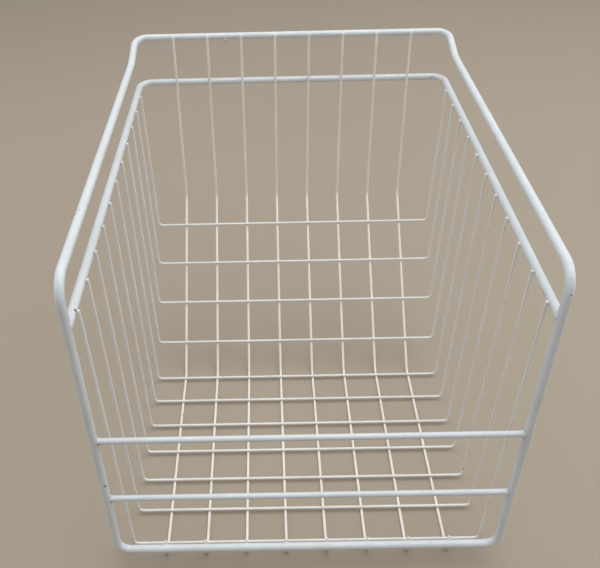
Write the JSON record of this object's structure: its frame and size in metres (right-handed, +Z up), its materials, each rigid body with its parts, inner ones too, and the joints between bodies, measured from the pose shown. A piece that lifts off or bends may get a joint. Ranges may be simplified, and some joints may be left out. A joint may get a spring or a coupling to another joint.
{
  "type": "wire produce basket",
  "caption": "Open-front welded wire basket that slides into a refrigerator or freezer on its side rails, with a ramped back and a raised rear bar.",
  "frame": {"origin": "middle of the surface the basket rests on, under the centre of its overall box", "axes": "+Z up, +Y from the open front to the raised back bar, +X to the right seen from the front"},
  "size_m": [0.327, 0.4026, 0.3171],
  "materials": {
    "outer_frame_coat": "satin white plastic coat over steel wire",
    "rim_wire_coat": "satin white plastic coat over steel wire",
    "front_bar_upper_coat": "satin white plastic coat over steel wire",
    "front_bar_lower_coat": "satin white plastic coat over steel wire",
    "cross_wire_01_coat": "satin white plastic coat over steel wire",
    "cross_wire_02_coat": "satin white plastic coat over steel wire",
    "cross_wire_03_coat": "satin white plastic coat over steel wire",
    "cross_wire_04_coat": "satin white plastic coat over steel wire",
    "cross_wire_05_coat": "satin white plastic coat over steel wire",
    "cross_wire_06_coat": "satin white plastic coat over steel wire",
    "cross_wire_07_coat": "satin white plastic coat over steel wire",
    "cross_wire_08_coat": "satin white plastic coat over steel wire",
    "cross_wire_09_coat": "satin white plastic coat over steel wire",
    "cross_wire_10_coat": "satin white plastic coat over steel wire",
    "cross_wire_11_coat": "satin white plastic coat over steel wire",
    "long_wire_1_coat": "satin white plastic coat over steel wire",
    "long_wire_2_coat": "satin white plastic coat over steel wire",
    "long_wire_3_coat": "satin white plastic coat over steel wire",
    "long_wire_4_coat": "satin white plastic coat over steel wire",
    "long_wire_5_coat": "satin white plastic coat over steel wire",
    "long_wire_6_coat": "satin white plastic coat over steel wire",
    "long_wire_7_coat": "satin white plastic coat over steel wire",
    "long_wire_8_coat": "satin white plastic coat over steel wire"
  },
  "bodies": {
    "root": {"outer_frame": "outer_frame_coat", "rim_wire": "rim_wire_coat", "front_bar_upper": "front_bar_upper_coat", "front_bar_lower": "front_bar_lower_coat", "cross_wire_01": "cross_wire_01_coat", "cross_wire_02": "cross_wire_02_coat", "cross_wire_03": "cross_wire_03_coat", "cross_wire_04": "cross_wire_04_coat", "cross_wire_05": "cross_wire_05_coat", "cross_wire_06": "cross_wire_06_coat", "cross_wire_07": "cross_wire_07_coat", "cross_wire_08": "cross_wire_08_coat", "cross_wire_09": "cross_wire_09_coat", "cross_wire_10": "cross_wire_10_coat", "cross_wire_11": "cross_wire_11_coat", "long_wire_1": "long_wire_1_coat", "long_wire_2": "long_wire_2_coat", "long_wire_3": "long_wire_3_coat", "long_wire_4": "long_wire_4_coat", "long_wire_5": "long_wire_5_coat", "long_wire_6": "long_wire_6_coat", "long_wire_7": "long_wire_7_coat", "long_wire_8": "long_wire_8_coat"}
  },
  "joints": []
}
